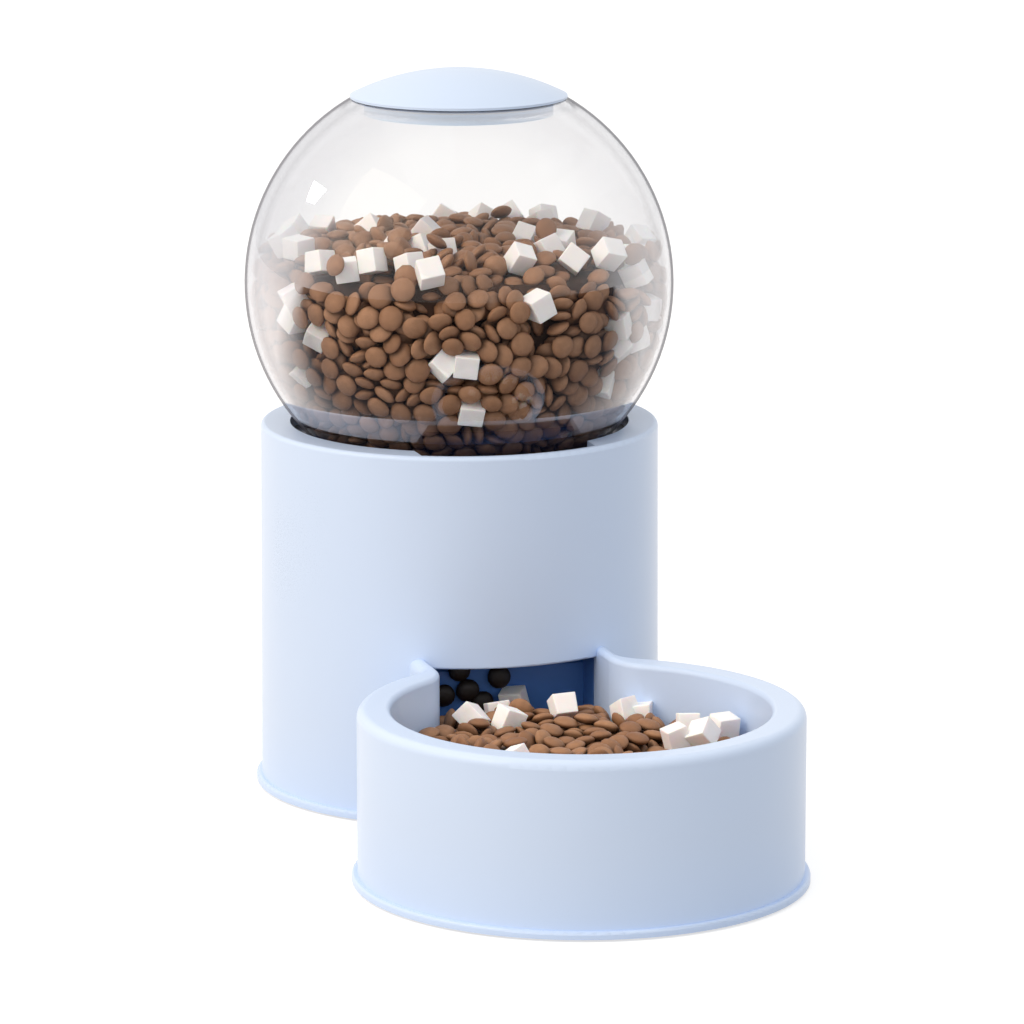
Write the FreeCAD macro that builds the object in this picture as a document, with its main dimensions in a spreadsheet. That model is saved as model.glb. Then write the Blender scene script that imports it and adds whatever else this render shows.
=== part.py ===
import FreeCAD, Part
import math
import os
import re

import Sketcher

# Gravity pet feeder: a moulded base with a tower and a food bowl, a clear globe that lifts out of the
# tower, and a lid that lifts off the globe. Millimetres, +Z up, the bowl towards -Y. Most lengths are
# heights above the foot of the moulded shell or radii about the tower's or the bowl's own axis.

doc = FreeCAD.newDocument("gravity_feeder")
sheet = doc.addObject("Spreadsheet::Sheet", "Sizes")

driving_sizes = {
    "towerHeight": (157.7, "tower, foot to ledge"),
    "towerFootRadius": (86.4, "tower wall, outside, at the foot"),
    "towerTopRadius": (85.6, "tower wall, outside, at the ledge"),
    "towerEdgeRound": (2.0, "round on the tower's top edge"),
    "shellWall": (3.0, "wall of the moulded shell"),
    "ledgeWidth": (12.6, "ledge ring round the globe"),
    "cupWall": (2.5, "wall that hangs from the ledge"),
    "cupDepth": (16.0, "ledge to the bottom of the hanging wall"),
    "notchHalfWidth": (38.0, "half the gap in the ledge at the front"),
    "footLip": (2.3, "lip round the foot, how far it stands proud"),
    "footLipHeight": (3.0, "lip round the foot, its height"),
    "footLipRound": (1.2, "round on the lip's top edge"),
    "bowlSpacing": (175.0, "tower axis to bowl axis"),
    "bowlRadius": (91.1, "bowl wall, outside"),
    "rimHeight": (71.3, "bowl rim"),
    "rimWidth": (13.8, "bowl rim, outside to inside"),
    "rimRound": (4.0, "round on the outer edge of the rim"),
    "rimInnerRound": (2.2, "round on the inner edge of the rim"),
    "bowlFloor": (22.0, "top of the bowl's floor"),
    "bowlCornerRound": (9.0, "round between the bowl's wall and its floor"),
    "outletHalfWidth": (37.5, "half the outlet window and the way into the bowl"),
    "outletTop": (67.1, "top edge of the outlet window"),
    "outletEdgeRound": (1.0, "round on the window's top edge"),
    "neckWall": (6.2, "rim between tower and bowl"),
    "neckBlend": (14.0, "curve from the neck into the bowl, outside"),
    "neckInnerBlend": (24.0, "curve from the neck into the bowl, inside"),
    "padProud": (1.0, "foot pads below the shell"),
    "padRadius": (7.0, "foot pad"),
    "padSink": (1.2, "foot pad, depth of its recess"),
    "padCircle": (64.0, "foot pads, distance from each axis"),
    "plateLift": (1.5, "underside of the base plate"),
    "plateThickness": (2.5, "base plate"),
    "plateGap": (0.3, "base plate to shell wall"),
    "plateBossHeight": (22.0, "screw bosses above the base plate"),
    "plateBossRadius": (4.0, "screw boss"),
    "bossSink": (0.5, "bosses of the tower, how far they run into its wall"),
    "bowlBossCircle": (48.0, "base plate bosses, from the bowl axis"),
    "screwRadius": (1.5, "screw shank"),
    "screwGap": (0.1, "screw shank to its hole"),
    "screwHeadRadius": (2.8, "screw head"),
    "screwHeadHeight": (1.8, "screw head"),
    "screwBite": (8.0, "screw shank inside the boss"),
    "chuteWall": (2.5, "food chute"),
    "chuteGap": (0.4, "food chute to the tower wall"),
    "chuteFlange": (3.0, "flange that carries the gasket"),
    "chuteBossRadius": (4.2, "screw bosses under the ledge"),
    "funnelStep": (14.4, "ledge's edge to the mouth of the funnel"),
    "throatDepth": (13.0, "straight part under the funnel"),
    "dropDepth": (27.0, "way down behind the outlet window"),
    "dropTop": (61.0, "where the slope ends above the way down"),
    "dropFloorRise": (4.0, "fall of the floor towards the bowl"),
    "globeRadius": (92.0, "globe, outside"),
    "globeWall": (2.0, "globe"),
    "mouthRadius": (41.5, "hole for the lid"),
    "mouthLand": (4.5, "flat ring round the mouth"),
    "neckBore": (29.0, "outlet neck, inside"),
    "neckLength": (10.0, "outlet neck below the globe"),
    "seatGap": (0.5, "globe and collar to what they rest on"),
    "seatStep": (7.7, "ledge's edge to where the globe meets the gasket"),
    "gasketWidth": (12.7, "seat gasket, outside to inside"),
    "gasketHeight": (10.3, "seat gasket"),
    "gasketGap": (0.3, "seat gasket to the wall that hangs from the ledge"),
    "collarWall": (3.4, "collar round the outlet neck"),
    "collarLip": (2.0, "collar below the neck's end"),
    "collarHeight": (8.0, "collar above the neck's end"),
    "threadGap": (0.1, "collar to neck"),
    "lidOverhang": (0.4, "edge of the lid past the land round the mouth"),
    "lidRise": (11.0, "dome above the lid's edge"),
    "lidEdge": (1.0, "height of the lid's edge"),
    "lidWall": (1.8, "dome"),
    "lidGap": (0.4, "lid's edge above the mouth"),
    "plugGap": (1.2, "ring under the dome to the mouth"),
    "plugWall": (2.0, "ring under the dome"),
    "plugDepth": (7.0, "ring below the mouth"),
    "sealHeight": (2.2, "seal round the plug"),
    "sealSink": (0.8, "depth of the seal's groove"),
    "sealGap": (0.3, "seal to the mouth"),
}

for row, (alias, (amount, meaning)) in enumerate(driving_sizes.items(), start=1):
    sheet.set("A%d" % row, meaning)
    sheet.set("B%d" % row, str(amount))
    sheet.setAlias("B%d" % row, alias)
doc.recompute()


def formula(text):
    """An expression on the sheet, from one that names the sizes alone."""
    return re.sub(r"[A-Za-z]+", lambda word: ("Sizes." if word[0] in driving_sizes else "") + word[0], text)


def amount_of(text):
    return float(sheet.evalExpression(formula(text)))


# Sizes that follow from the driving ones
PLATE_TOP = "(plateLift + plateThickness)"
TOWER_INSIDE = "(towerFootRadius - shellWall)"
TOWER_TOP_INSIDE = "(towerTopRadius - shellWall)"
LEDGE_RADIUS = "(towerTopRadius - ledgeWidth)"
LEDGE_UNDER = "(towerHeight - shellWall)"
CUP_BOTTOM = "(towerHeight - cupDepth)"
FLANGE_UNDER = "(%s - chuteFlange)" % CUP_BOTTOM
CHUTE_BOSS_CIRCLE = "((%s + cupWall + %s) / 2)" % (LEDGE_RADIUS, TOWER_TOP_INSIDE)
SCREW_HOLE = "(screwRadius + screwGap)"
TOWER_BOSS_CIRCLE = "(%s + bossSink - plateBossRadius)" % TOWER_INSIDE
OPENING_RADIUS = "(bowlRadius - rimWidth)"
NECK_HALF_WIDTH = "(outletHalfWidth + neckWall)"
RIM_ROUND = "min(rimRound; neckWall - rimInnerRound - 0.1)"
GASKET_TOP = "(%s + gasketHeight)" % CUP_BOTTOM
SEAT_RADIUS = "(globeRadius + seatGap)"
GLOBE_HEIGHT = "(%s + sqrt(%s^2 - (%s - seatStep)^2))" % (GASKET_TOP, SEAT_RADIUS, LEDGE_RADIUS)
NECK_OUTER = "(neckBore + globeWall)"
NECK_TOP = "(%s - sqrt(globeRadius^2 - %s^2))" % (GLOBE_HEIGHT, NECK_OUTER)
NECK_END = "(%s - neckLength)" % NECK_TOP
COLLAR_END = "(%s - collarLip)" % NECK_END
COLLAR_RADIUS = "(%s + threadGap + collarWall)" % NECK_OUTER
MOUTH_HEIGHT = "(%s + sqrt(globeRadius^2 - (mouthRadius + mouthLand)^2))" % GLOBE_HEIGHT
LID_BOTTOM = "(%s + lidGap)" % MOUTH_HEIGHT
LID_RADIUS = "(mouthRadius + mouthLand + lidOverhang)"
PLUG_RADIUS = "(mouthRadius - plugGap)"
DOME_RADIUS = "((%s^2 + lidRise^2) / (2 * lidRise))" % LID_RADIUS
DOME_HEIGHT = "(%s + lidEdge + lidRise - %s)" % (LID_BOTTOM, DOME_RADIUS)
THROAT_STEP = "(%s - seatGap)" % COLLAR_END
CHUTE_ROOF = "(%s - chuteWall)" % THROAT_STEP
DROP_BACK = "(dropDepth - towerFootRadius)"

# The part's origin is under the middle of its outline, so both axes lie off it
BACK_REACH = "max(globeRadius; towerFootRadius + footLip)"
TOWER_Y = "((bowlSpacing + bowlRadius + footLip - %s) / 2)" % BACK_REACH
BOWL_Y = "(%s - bowlSpacing)" % TOWER_Y


def inside_at(height):
    """Radius of the tower's inside, which leans in a little from the foot to the ledge."""
    return "(%s - (towerFootRadius - towerTopRadius) * %s / %s)" % (TOWER_INSIDE, height, LEDGE_UNDER)


def outline(sketch, corners):
    """A closed outline through the corners. A corner with a turn and a radius starts an arc."""
    first = sketch.GeometryCount
    points = [FreeCAD.Vector(amount_of(corner[0]), amount_of(corner[1]), 0) for corner in corners]
    ends = []
    for corner, start, end in zip(corners, points, points[1:] + points[:1]):
        if len(corner) == 2:
            sketch.addGeometry(Part.LineSegment(start, end), False)
            ends.append((1, 2))
            continue
        turn, radius = corner[2:]
        chord = end - start
        left = FreeCAD.Vector(-chord.y, chord.x, 0).normalize()
        rise = math.sqrt(max(amount_of(radius) ** 2 - (chord.Length / 2) ** 2, 0))
        side = 1 if turn == "left" else -1
        centre = (start + end) / 2 + left * rise * side
        angles = [math.atan2(point.y - centre.y, point.x - centre.x) for point in (start, end)]
        whole = Part.Circle(centre, FreeCAD.Vector(0, 0, 1), amount_of(radius))
        sketch.addGeometry(Part.ArcOfCircle(whole, *angles[::side]), False)
        ends.append((1, 2)[::side])
    for index, corner in enumerate(corners):
        before = (index - 1) % len(corners)
        joint = (first + index, ends[index][0])
        sketch.addConstraint(Sketcher.Constraint("Coincident", first + before, ends[before][1], *joint))
        dimension(sketch, "DistanceX", (-1, 1) + joint, corner[0])
        dimension(sketch, "DistanceY", (-1, 1) + joint, corner[1])
        if len(corner) > 2:
            dimension(sketch, "Radius", (first + index,), corner[3])


def dimension(sketch, kind, where, text):
    index = sketch.addConstraint(Sketcher.Constraint(kind, *where, amount_of(text)))
    sketch.setExpression("Constraints[%d]" % index, formula(text))


def circle(sketch, x, y, radius):
    centre = FreeCAD.Vector(amount_of(x), amount_of(y), 0)
    index = sketch.addGeometry(Part.Circle(centre, FreeCAD.Vector(0, 0, 1), amount_of(radius)), False)
    dimension(sketch, "DistanceX", (-1, 1, index, 3), x)
    dimension(sketch, "DistanceY", (-1, 1, index, 3), y)
    dimension(sketch, "Radius", (index,), radius)


def new_body(label, y, turned=0):
    """A sub-part, standing on the pads' height above the ground, about the axis at y."""
    body = doc.addObject("PartDesign::Body", label)
    body.Label = label
    body.Placement = FreeCAD.Placement(FreeCAD.Vector(), FreeCAD.Rotation(FreeCAD.Vector(0, 0, 1), turned))
    body.setExpression("Placement.Base.y", formula(y))
    body.setExpression("Placement.Base.z", formula("padProud"))
    return body


def new_sketch(body, name, role, height="0", shift="0"):
    sketch = body.newObject("Sketcher::SketchObject", name)
    plane = next(item for item in body.Origin.OriginFeatures if item.Role == role)
    sketch.AttachmentSupport = [(plane, "")]
    sketch.MapMode = "FlatFace"
    sketch.setExpression("AttachmentOffset.Base.z", formula(height))
    sketch.setExpression("AttachmentOffset.Base.x", formula(shift))
    return sketch


def new_feature(body, kind, name, sketch, **settings):
    """A feature on a sketch. What cuts must take material away, and what adds must bring some."""
    before = body.Tip.Shape.Volume if body.Tip else 0
    feature = body.newObject("PartDesign::" + kind, name)
    feature.Profile = sketch
    for key, text in settings.items():
        if key in ("Length", "Length2"):
            feature.setExpression(key, formula(text))
        else:
            setattr(feature, key, text)
    if kind in ("Revolution", "Groove"):
        feature.ReferenceAxis = (sketch, ["V_Axis"])
        feature.Angle = 360
    doc.recompute()
    change = feature.Shape.Volume - before
    if (change < 0) != (kind in ("Pocket", "Groove")):
        raise ValueError("%s changes the volume by %.1f" % (name, change))
    return feature


def turned_profile(body, name, corners, kind="Revolution", shift="0"):
    sketch = new_sketch(body, name + "_profile", "XZ_Plane", shift=shift)
    outline(sketch, corners)
    return new_feature(body, kind, name, sketch)


def round_edges(body, name, radius, wanted):
    base = body.Tip
    names = ["Edge%d" % (index + 1) for index, edge in enumerate(base.Shape.Edges) if wanted(edge)]
    if not names:
        raise ValueError("no edges for " + name)
    fillet = body.newObject("PartDesign::Fillet", name)
    fillet.Base = (base, names)
    fillet.setExpression("Radius", formula(radius))
    doc.recompute()
    return fillet


def ring_of(body, name, originals, count):
    """The same features, several times about the body's own upright axis."""
    pattern = body.newObject("PartDesign::PolarPattern", name)
    pattern.Originals = originals
    axis = next(item for item in body.Origin.OriginFeatures if item.Role == "Z_Axis")
    pattern.Axis = (axis, [""])
    pattern.Angle = 360
    pattern.Occurrences = count
    body.Tip = pattern
    doc.recompute()
    return pattern


def necked_outline(radius, half_width, blend, end):
    """Plan of the bowl and its neck: a circle about the bowl's axis, run into a straight-sided neck."""
    across = "(%s + %s)" % (half_width, blend)
    reach = "(%s + %s)" % (radius, blend)
    along = "sqrt(%s^2 - %s^2)" % (reach, across)
    touch_x = "(%s * %s / %s)" % (across, radius, reach)
    touch_y = "(%s * %s / %s - bowlSpacing)" % (along, radius, reach)
    neck_y = "(%s - bowlSpacing)" % along
    return [
        (touch_x, touch_y, "right", radius),
        ("0", "-bowlSpacing - " + radius, "right", radius),
        ("-" + touch_x, touch_y, "left", blend),
        ("-" + half_width, neck_y),
        ("-" + half_width, end),
        (half_width, end),
        (half_width, neck_y, "left", blend),
    ]


def lies_at(edge, height):
    return abs(edge.BoundBox.ZMin - height) < 1e-4 and abs(edge.BoundBox.ZMax - height) < 1e-4


# Base shell: one moulding, with the bowl, its S-shaped neck and the tower. What cuts reaches past
# what it cuts, and the bowl's block ends inside the tower, where the bore takes the rest of it.
shell = new_body("base_shell", TOWER_Y)
CUT_PAST = "2"
BLOCK_END = "(%s - sqrt(%s^2 - (%s + footLip)^2))" % (CUT_PAST, TOWER_INSIDE, NECK_HALF_WIDTH)
HOLLOW_END = "(%s + %s)" % (BLOCK_END, CUT_PAST)

lip_plan = new_sketch(shell, "bowl_lip_plan", "XY_Plane")
outline(lip_plan, necked_outline("(bowlRadius + footLip)", "(%s + footLip)" % NECK_HALF_WIDTH,
                                 "(neckBlend - footLip)", BLOCK_END))
new_feature(shell, "Pad", "bowl_lip", lip_plan, Length="footLipHeight")
block_end = amount_of(BLOCK_END)


def bowl_edges_at(text):
    """Picks the edges at one height that run along the bowl, not across the end of its neck."""
    height = amount_of(text)
    return lambda edge: lies_at(edge, height) and edge.BoundBox.YMin < block_end - 1


round_edges(shell, "bowl_lip_round", "footLipRound", bowl_edges_at("footLipHeight"))

block_plan = new_sketch(shell, "bowl_plan", "XY_Plane")
outline(block_plan, necked_outline("bowlRadius", NECK_HALF_WIDTH, "neckBlend", BLOCK_END))
new_feature(shell, "Pad", "bowl_block", block_plan, Length="rimHeight")

hollow_plan = new_sketch(shell, "bowl_opening", "XY_Plane", "rimHeight")
outline(hollow_plan, necked_outline(OPENING_RADIUS, "outletHalfWidth", "neckInnerBlend", HOLLOW_END))
new_feature(shell, "Pocket", "bowl_hollow", hollow_plan, Length="rimHeight - bowlFloor")
at_rim = bowl_edges_at("rimHeight")


def bounds_hollow(edge):
    """Whether an edge of the rim lies on the outline of the opening."""
    middle = edge.valueAt((edge.FirstParameter + edge.LastParameter) / 2)
    return hollow_plan.Shape.distToShape(Part.Vertex(middle))[0] < 1e-4


round_edges(shell, "rim_round", RIM_ROUND, lambda edge: at_rim(edge) and not bounds_hollow(edge))
round_edges(shell, "rim_inner_round", "rimInnerRound", lambda edge: at_rim(edge) and bounds_hollow(edge))
round_edges(shell, "bowl_corner", "bowlCornerRound", bowl_edges_at("bowlFloor"))

turned_profile(shell, "tower", [
    (TOWER_INSIDE, "0"),
    ("towerFootRadius + footLip", "0"),
    ("towerFootRadius + footLip", "footLipHeight - footLipRound", "left", "footLipRound"),
    ("towerFootRadius + footLip - footLipRound", "footLipHeight"),
    ("towerFootRadius", "footLipHeight"),
    ("towerTopRadius", "towerHeight - towerEdgeRound", "left", "towerEdgeRound"),
    ("towerTopRadius - towerEdgeRound", "towerHeight"),
    (LEDGE_RADIUS, "towerHeight"),
    (LEDGE_RADIUS, CUP_BOTTOM),
    (LEDGE_RADIUS + " + cupWall", CUP_BOTTOM),
    (LEDGE_RADIUS + " + cupWall", LEDGE_UNDER),
    (TOWER_TOP_INSIDE, LEDGE_UNDER),
])
BORE_TOP = "(rimHeight + %s)" % CUT_PAST
turned_profile(shell, "tower_bore", [
    ("0", "0"),
    (TOWER_INSIDE, "0"),
    (inside_at(BORE_TOP), BORE_TOP),
    ("0", BORE_TOP),
], kind="Groove")

window_plan = new_sketch(shell, "outlet_plan", "XY_Plane", "outletTop")
outline(window_plan, [
    ("outletHalfWidth", "-towerFootRadius - " + CUT_PAST),
    ("outletHalfWidth", HOLLOW_END),
    ("-outletHalfWidth", HOLLOW_END),
    ("-outletHalfWidth", "-towerFootRadius - " + CUT_PAST),
])
new_feature(shell, "Pocket", "outlet_window", window_plan, Length="outletTop - bowlFloor")
outlet_top = amount_of("outletTop")
tower_inside = amount_of(TOWER_INSIDE)


def is_outlet_edge(edge):
    """The window's top edge on the tower's outside, which bends round the tower's axis."""
    middle = edge.valueAt((edge.FirstParameter + edge.LastParameter) / 2)
    return lies_at(edge, outlet_top) and abs(middle.x) < 1 and -middle.y > tower_inside + 1


round_edges(shell, "outlet_round", "outletEdgeRound", is_outlet_edge)

under_plan = new_sketch(shell, "under_bowl_plan", "XY_Plane")
outline(under_plan, necked_outline("(bowlRadius - shellWall)", "(%s - shellWall)" % NECK_HALF_WIDTH,
                                   "(neckBlend + shellWall)", BLOCK_END))
new_feature(shell, "Pocket", "under_bowl", under_plan, Length="bowlFloor - shellWall", Reversed=True)


def ring_part(radius_out, radius_in, angle):
    """Plan of a ring about the bowl's axis, open over the angle on each side of its back."""
    out_x = "(%s * sin(%s))" % (radius_out, angle)
    out_y = "(%s * cos(%s) - bowlSpacing)" % (radius_out, angle)
    in_x = "(%s * sin(%s))" % (radius_in, angle)
    in_y = "(%s * cos(%s) - bowlSpacing)" % (radius_in, angle)
    return [
        (out_x, out_y, "right", radius_out),
        ("0", "-bowlSpacing - " + radius_out, "right", radius_out),
        ("-" + out_x, out_y),
        ("-" + in_x, in_y, "left", radius_in),
        ("0", "-bowlSpacing - " + radius_in, "left", radius_in),
        (in_x, in_y),
    ]


wall_plan = new_sketch(shell, "wall_hollow_plan", "XY_Plane")
outline(wall_plan, ring_part("(bowlRadius - shellWall)", "(%s + shellWall)" % OPENING_RADIUS, "50 deg"))
new_feature(shell, "Pocket", "wall_hollow", wall_plan, Length="rimHeight - rimRound - 1", Reversed=True)

notch_plan = new_sketch(shell, "notch_plan", "XY_Plane", "towerHeight")
NOTCH_FRONT = "(-sqrt(%s^2 - notchHalfWidth^2))" % TOWER_TOP_INSIDE
NOTCH_BACK = "(%s - sqrt(%s^2 - notchHalfWidth^2))" % (CUT_PAST, LEDGE_RADIUS)
outline(notch_plan, [
    ("-notchHalfWidth", NOTCH_BACK),
    ("-notchHalfWidth", NOTCH_FRONT, "left", TOWER_TOP_INSIDE),
    ("notchHalfWidth", NOTCH_FRONT),
    ("notchHalfWidth", NOTCH_BACK),
])
new_feature(shell, "Pocket", "ledge_notch", notch_plan, Length="cupDepth")


def screw_places(ring, axis_y="0"):
    """Centres of four screws on a circle about one axis, 45 degrees off the part's own axes."""
    for index in range(4):
        angle = "%d deg" % (45 + 90 * index)
        yield "%s * cos(%s)" % (ring, angle), "%s * sin(%s) + %s" % (ring, angle, axis_y)


def boss_ring(body, name, ring, boss_radius, start, height, axis_y="0"):
    """Four screw bosses with their blind holes."""
    boss_plan = new_sketch(body, name + "_plan", "XY_Plane", start)
    hole_plan = new_sketch(body, name + "_hole_plan", "XY_Plane", start)
    for x_text, y_text in screw_places(ring, axis_y):
        circle(boss_plan, x_text, y_text, boss_radius)
        circle(hole_plan, x_text, y_text, SCREW_HOLE)
    new_feature(body, "Pad", name, boss_plan, Length=height)
    new_feature(body, "Pocket", name + "_holes", hole_plan, Length="screwBite + 1", Reversed=True)


boss_ring(shell, "chute_bosses", CHUTE_BOSS_CIRCLE, "chuteBossRadius", CUP_BOTTOM,
          "cupDepth - shellWall / 2")
boss_ring(shell, "tower_bosses", TOWER_BOSS_CIRCLE, "plateBossRadius", PLATE_TOP, "plateBossHeight")
boss_ring(shell, "bowl_bosses", "bowlBossCircle", "plateBossRadius", PLATE_TOP,
          "bowlFloor - shellWall / 2 - " + PLATE_TOP, "-bowlSpacing")

# Base plate: closes tower and bowl from below
plate = new_body("base_plate", TOWER_Y)
PLATE_TOWER = "(%s - plateGap)" % TOWER_INSIDE
PLATE_HALF = "(%s - shellWall - plateGap)" % NECK_HALF_WIDTH
plate_plan = new_sketch(plate, "plate_plan", "XY_Plane", "plateLift")
PLATE_Y = "-sqrt(%s^2 - %s^2)" % (PLATE_TOWER, PLATE_HALF)
plate_corners = necked_outline("(bowlRadius - shellWall - plateGap)", PLATE_HALF,
                               "(neckBlend + shellWall + plateGap)", PLATE_Y)
plate_corners[4] = ("-" + PLATE_HALF, PLATE_Y, "right", PLATE_TOWER)
plate_corners.insert(5, ("0", PLATE_TOWER, "right", PLATE_TOWER))
outline(plate_plan, plate_corners)
new_feature(plate, "Pad", "plate", plate_plan, Length="plateThickness")


def pad_places(axis_y):
    """Centres of three pads about one axis, one of them away from the other axis."""
    for index in range(3):
        angle = "%d deg" % (90 + index * 120 + (180 if axis_y != "0" else 0))
        yield "padCircle * cos(%s)" % angle, "padCircle * sin(%s) + %s" % (angle, axis_y)


recess_plan = new_sketch(plate, "pad_recess_plan", "XY_Plane", "plateLift")
for axis_y in ("0", "-bowlSpacing"):
    for x_text, y_text in pad_places(axis_y):
        circle(recess_plan, x_text, y_text, "padRadius + plateGap")
new_feature(plate, "Pocket", "pad_recesses", recess_plan, Length="padSink", Reversed=True)

for name, radius, depth in (("screw_holes", SCREW_HOLE, "plateThickness"),
                            ("screw_sinks", "screwHeadRadius + plateGap", "plateThickness / 2")):
    hole_plan = new_sketch(plate, name + "_plan", "XY_Plane", "plateLift")
    for axis_y, ring in (("0", TOWER_BOSS_CIRCLE), ("-bowlSpacing", "bowlBossCircle")):
        for x_text, y_text in screw_places(ring, axis_y):
            circle(hole_plan, x_text, y_text, radius)
    new_feature(plate, "Pocket", name, hole_plan, Length=depth, Reversed=True)


# Screws and pads: each ring of them is one group
def screw_ring(label, y, circle_radius, seat, grip):
    """Pan-head screws that go up from a seat, through the grip and into their bosses."""
    screws = new_body(label, y, turned=45)
    first = turned_profile(screws, label + "_screw", [
        ("0", "%s - screwHeadHeight" % seat),
        ("screwHeadRadius * 0.7", "%s - screwHeadHeight" % seat),
        ("screwHeadRadius", "%s - screwHeadHeight * 0.4" % seat),
        ("screwHeadRadius", seat),
        ("screwRadius", seat),
        ("screwRadius", "%s + %s + screwBite - screwRadius" % (seat, grip)),
        ("0", "%s + %s + screwBite" % (seat, grip)),
    ], shift=circle_radius)
    ring_of(screws, label + "_ring", [first], 4)
    return screws


chute_screws = screw_ring("chute_screws", TOWER_Y, CHUTE_BOSS_CIRCLE, FLANGE_UNDER, "chuteFlange")
PLATE_SEAT = "(plateLift + plateThickness / 2)"
tower_screws = screw_ring("tower_screws", TOWER_Y, TOWER_BOSS_CIRCLE, PLATE_SEAT, "plateThickness / 2")
bowl_screws = screw_ring("bowl_screws", BOWL_Y, "bowlBossCircle", PLATE_SEAT, "plateThickness / 2")


def pad_ring(label, y, turned):
    """Three soft pads, from the ground up into the recesses of the base plate."""
    pads = new_body(label, y, turned=turned)
    first = turned_profile(pads, label + "_pad", [
        ("0", "-padProud"),
        ("padRadius - padProud / 2", "-padProud"),
        ("padRadius", "-padProud / 2"),
        ("padRadius", "plateLift + padSink"),
        ("0", "plateLift + padSink"),
    ], shift="padCircle")
    ring_of(pads, label + "_ring", [first], 3)
    return pads


tower_pads = pad_ring("tower_pads", TOWER_Y, 90)
bowl_pads = pad_ring("bowl_pads", BOWL_Y, -90)

# Food chute: a flange under the ledge, a funnel, a throat and the slope down to the outlet
chute = new_body("food_chute", TOWER_Y)
CHUTE_RADIUS = "(%s - chuteGap)" % inside_at(FLANGE_UNDER)
FUNNEL_RADIUS = "(%s - funnelStep)" % LEDGE_RADIUS
THROAT_RADIUS = "(%s + seatGap)" % COLLAR_RADIUS
THROAT_TOP = "(%s + throatDepth)" % CHUTE_ROOF
turned_profile(chute, "funnel", [
    ("neckBore", CHUTE_ROOF),
    (THROAT_RADIUS + " + chuteWall", CHUTE_ROOF),
    (THROAT_RADIUS + " + chuteWall", THROAT_TOP + " - chuteWall"),
    (FUNNEL_RADIUS + " + chuteWall", FLANGE_UNDER),
    (CHUTE_RADIUS, FLANGE_UNDER),
    (CHUTE_RADIUS, CUP_BOTTOM),
    (FUNNEL_RADIUS, CUP_BOTTOM),
    (THROAT_RADIUS, THROAT_TOP),
    (THROAT_RADIUS, THROAT_STEP),
    ("neckBore", THROAT_STEP),
])

FRONT_Y = "-(towerFootRadius + %s)" % CUT_PAST
SLOPE_BACK = "(neckBore + 1)"
duct_side = new_sketch(chute, "duct_side", "YZ_Plane")
outline(duct_side, [
    (SLOPE_BACK + " + chuteWall", THROAT_STEP),
    (SLOPE_BACK + " + chuteWall", CHUTE_ROOF + " - chuteWall"),
    (DROP_BACK + " + chuteWall", "dropTop - chuteWall / 2"),
    (DROP_BACK + " + chuteWall", "bowlFloor + dropFloorRise - chuteWall"),
    (FRONT_Y, "bowlFloor - chuteWall"),
    (FRONT_Y, THROAT_STEP),
])
new_feature(chute, "Pad", "duct", duct_side, Length="2 * (outletHalfWidth + chuteWall)",
            SideType="Symmetric")

turned_profile(chute, "duct_front", [
    (TOWER_INSIDE + " - chuteGap", "0"),
    ("towerFootRadius * 2", "0"),
    ("towerFootRadius * 2", FLANGE_UNDER),
    (CHUTE_RADIUS, FLANGE_UNDER),
], kind="Groove")

way_side = new_sketch(chute, "food_way_side", "YZ_Plane")
outline(way_side, [
    (SLOPE_BACK, CHUTE_ROOF),
    (DROP_BACK, "dropTop"),
    (DROP_BACK, "bowlFloor + dropFloorRise"),
    (FRONT_Y, "bowlFloor"),
    (FRONT_Y, CHUTE_ROOF),
])
new_feature(chute, "Pocket", "food_way", way_side, Length="2 * outletHalfWidth", SideType="Symmetric")

throat_plan = new_sketch(chute, "throat_plan", "XY_Plane", THROAT_STEP)
circle(throat_plan, "0", "0", "neckBore")
new_feature(chute, "Pocket", "throat_bore", throat_plan, Length="chuteWall + " + CUT_PAST)

flange_holes = new_sketch(chute, "flange_hole_plan", "XY_Plane", CUP_BOTTOM)
for x_text, y_text in screw_places(CHUTE_BOSS_CIRCLE):
    circle(flange_holes, x_text, y_text, SCREW_HOLE)
new_feature(chute, "Pocket", "flange_holes", flange_holes, Length="chuteFlange")

# Globe and what goes with it when it lifts out
globe = new_body("hopper_globe", TOWER_Y)
INNER_RADIUS = "(globeRadius - globeWall)"
turned_profile(globe, "ball", [
    ("neckBore", NECK_END),
    (NECK_OUTER, NECK_END),
    (NECK_OUTER, NECK_TOP, "left", "globeRadius"),
    ("mouthRadius + mouthLand", MOUTH_HEIGHT),
    ("mouthRadius", MOUTH_HEIGHT),
    ("mouthRadius", MOUTH_HEIGHT + " - globeWall"),
    ("sqrt(%s^2 - (%s - globeWall - %s)^2)" % (INNER_RADIUS, MOUTH_HEIGHT, GLOBE_HEIGHT),
     MOUTH_HEIGHT + " - globeWall", "right", INNER_RADIUS),
    ("neckBore", "%s - sqrt(%s^2 - neckBore^2)" % (GLOBE_HEIGHT, INNER_RADIUS)),
])

collar = new_body("outlet_collar", TOWER_Y)
turned_profile(collar, "collar", [
    ("neckBore", COLLAR_END),
    (COLLAR_RADIUS + " - 1", COLLAR_END),
    (COLLAR_RADIUS, COLLAR_END + " + 1"),
    (COLLAR_RADIUS, NECK_END + " + collarHeight"),
    (NECK_OUTER + " + threadGap", NECK_END + " + collarHeight"),
    (NECK_OUTER + " + threadGap", NECK_END),
    ("neckBore", NECK_END),
])

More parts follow.
